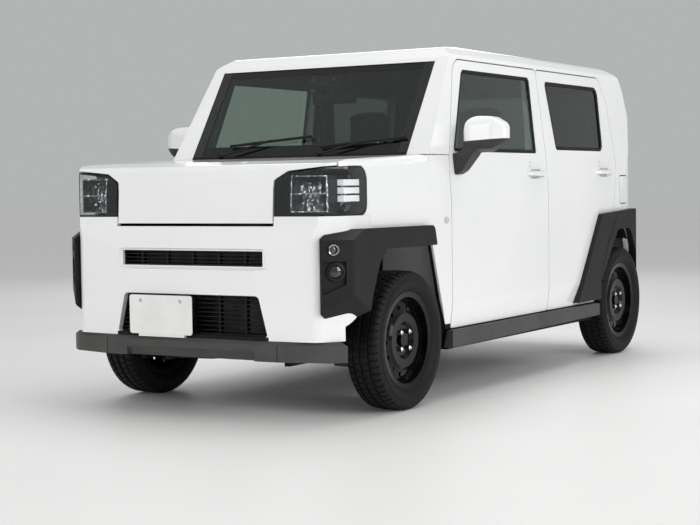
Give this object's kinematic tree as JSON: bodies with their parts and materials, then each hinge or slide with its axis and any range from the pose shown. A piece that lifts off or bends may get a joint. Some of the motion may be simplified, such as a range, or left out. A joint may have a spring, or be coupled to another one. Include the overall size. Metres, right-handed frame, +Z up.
{
  "type": "kei car",
  "caption": "Small tall hatchback car with opening doors, bonnet, tailgate and fuel lid, steered front wheels and dark arch mouldings.",
  "frame": {"origin": "on the ground, in the middle of the overall length and width", "axes": "+X to the car's left, nose towards -Y, +Z up"},
  "size_m": [1.888, 3.395, 1.6298],
  "materials": {
    "paint_white": "glossy white paint",
    "plastic_grey": "grained dark grey moulded plastic",
    "plastic_black": "satin black plastic",
    "glass_tint": "lightly tinted safety glass",
    "glass_dark": "dark privacy glass",
    "lamp_clear": "clear lamp lens",
    "lamp_black": "gloss black lamp housing",
    "lamp_red": "red lamp lens",
    "rubber_seal": "black rubber",
    "tyre_rubber": "black tyre rubber",
    "wheel_black": "gloss black enamel on pressed steel",
    "chassis_steel": "black chassis paint",
    "underbody": "dark under-seal below, carpet above",
    "engine_metal": "cast aluminium",
    "radiator_metal": "dark finned core",
    "exhaust_steel": "dull steel",
    "dash_plastic": "grained black plastic",
    "seat_cloth": "dark woven cloth",
    "plate_white": "plain white plate"
  },
  "bodies": {
    "body": {"floor_pan": "underbody", "side_frame_left": "paint_white", "side_frame_right": "paint_white", "roof_panel": "paint_white", "roof_glass": "glass_dark", "windscreen": "glass_tint", "cowl": "plastic_black", "wipers": "plastic_black", "front_frame": "paint_white", "front_fenders": "paint_white", "front_bumper": "paint_white", "grilles": "plastic_black", "front_guard": "plastic_grey", "front_flares": "plastic_grey", "rear_flares": "plastic_grey", "side_skirts": "plastic_grey", "door_seals": "rubber_seal", "rear_bumper": "paint_white", "headlamps": "lamp_black", "headlamp_lenses": "lamp_clear", "tail_lamps": "lamp_red", "front_plate": "plate_white", "engine_block": "engine_metal", "radiator": "radiator_metal", "front_suspension": "chassis_steel", "rear_axle": "chassis_steel", "fuel_tank": "plastic_black", "exhaust": "exhaust_steel", "dashboard": "dash_plastic", "front_seats": "seat_cloth", "rear_seat": "seat_cloth"},
    "steering_wheel": {"steering_wheel": "dash_plastic"},
    "bonnet": {"bonnet": "paint_white"},
    "tailgate": {"tailgate": "paint_white", "tailgate_glass": "glass_dark", "tailgate_trim": "plastic_black"},
    "fuel_lid": {"fuel_lid": "paint_white"},
    "front_door_left": {"front_door_left": "paint_white", "front_glass_left": "glass_tint", "mirror_left": "paint_white"},
    "rear_door_left": {"rear_door_left": "paint_white", "rear_glass_left": "glass_dark", "rear_door_flare_left": "plastic_grey"},
    "knuckle_left": {"knuckle_left": "chassis_steel"},
    "wheel_front_left": {"wheel_front_left": "wheel_black", "tyre_front_left": "tyre_rubber"},
    "wheel_rear_left": {"wheel_rear_left": "wheel_black", "tyre_rear_left": "tyre_rubber"},
    "front_door_right": {"front_door_right": "paint_white", "front_glass_right": "glass_tint", "mirror_right": "paint_white"},
    "rear_door_right": {"rear_door_right": "paint_white", "rear_glass_right": "glass_dark", "rear_door_flare_right": "plastic_grey"},
    "knuckle_right": {"knuckle_right": "chassis_steel"},
    "wheel_front_right": {"wheel_front_right": "wheel_black", "tyre_front_right": "tyre_rubber"},
    "wheel_rear_right": {"wheel_rear_right": "wheel_black", "tyre_rear_right": "tyre_rubber"}
  },
  "joints": [
    {"name": "front_door_left_hinge", "type": "hinge", "parent": "body", "child": "front_door_left", "pos_m": [0.72, -0.6625, 0.7], "axis": [0, 0, -1], "range_deg": [0, 65]},
    {"name": "rear_door_left_hinge", "type": "hinge", "parent": "body", "child": "rear_door_left", "pos_m": [0.72, 0.4065, 0.7], "axis": [0, 0, -1], "range_deg": [0, 70]},
    {"name": "front_door_right_hinge", "type": "hinge", "parent": "body", "child": "front_door_right", "pos_m": [-0.72, -0.6625, 0.7], "axis": [0, 0, 1], "range_deg": [0, 65]},
    {"name": "rear_door_right_hinge", "type": "hinge", "parent": "body", "child": "rear_door_right", "pos_m": [-0.72, 0.4065, 0.7], "axis": [0, 0, 1], "range_deg": [0, 70]},
    {"name": "steer_left", "type": "hinge", "parent": "body", "child": "knuckle_left", "pos_m": [0.575, -1.0875, 0.19], "axis": [-0.1736, 0, 0.9848], "range_deg": [-33, 33]},
    {"name": "steer_right", "type": "hinge", "parent": "body", "child": "knuckle_right", "pos_m": [-0.575, -1.0875, 0.19], "axis": [0.1736, 0, 0.9848], "range_deg": [-33, 33]},
    {"name": "steering_wheel_turn", "type": "hinge", "parent": "body", "child": "steering_wheel", "pos_m": [-0.33, -0.3425, 0.985], "axis": [0, 0.8829, 0.4695], "range_deg": [-500, 500]},
    {"name": "bonnet_hinge", "type": "hinge", "parent": "body", "child": "bonnet", "pos_m": [0, -0.8735, 1.094], "axis": [-1, 0, 0], "range_deg": [0, 55]},
    {"name": "tailgate_hinge", "type": "hinge", "parent": "body", "child": "tailgate", "pos_m": [0, 1.4575, 1.6], "axis": [1, 0, 0], "range_deg": [0, 80]},
    {"name": "fuel_lid_hinge", "type": "hinge", "parent": "body", "child": "fuel_lid", "pos_m": [0.712, 1.3925, 0.917], "axis": [0, 0, -1], "range_deg": [0, 100]},
    {"name": "wheel_front_left_spin", "type": "hinge", "parent": "knuckle_left", "child": "wheel_front_left", "pos_m": [0.65, -1.0875, 0.29775], "axis": [1, 0, 0], "continuous": true},
    {"name": "wheel_rear_left_spin", "type": "hinge", "parent": "body", "child": "wheel_rear_left", "pos_m": [0.65, 1.3725, 0.29775], "axis": [1, 0, 0], "continuous": true},
    {"name": "wheel_front_right_spin", "type": "hinge", "parent": "knuckle_right", "child": "wheel_front_right", "pos_m": [-0.65, -1.0875, 0.29775], "axis": [1, 0, 0], "continuous": true},
    {"name": "wheel_rear_right_spin", "type": "hinge", "parent": "body", "child": "wheel_rear_right", "pos_m": [-0.65, 1.3725, 0.29775], "axis": [1, 0, 0], "continuous": true}
  ],
  "couplings": [
    {"joint": "steer_right", "follows": "steer_left", "ratio": 1},
    {"joint": "steering_wheel_turn", "follows": "steer_left", "ratio": 15}
  ]
}
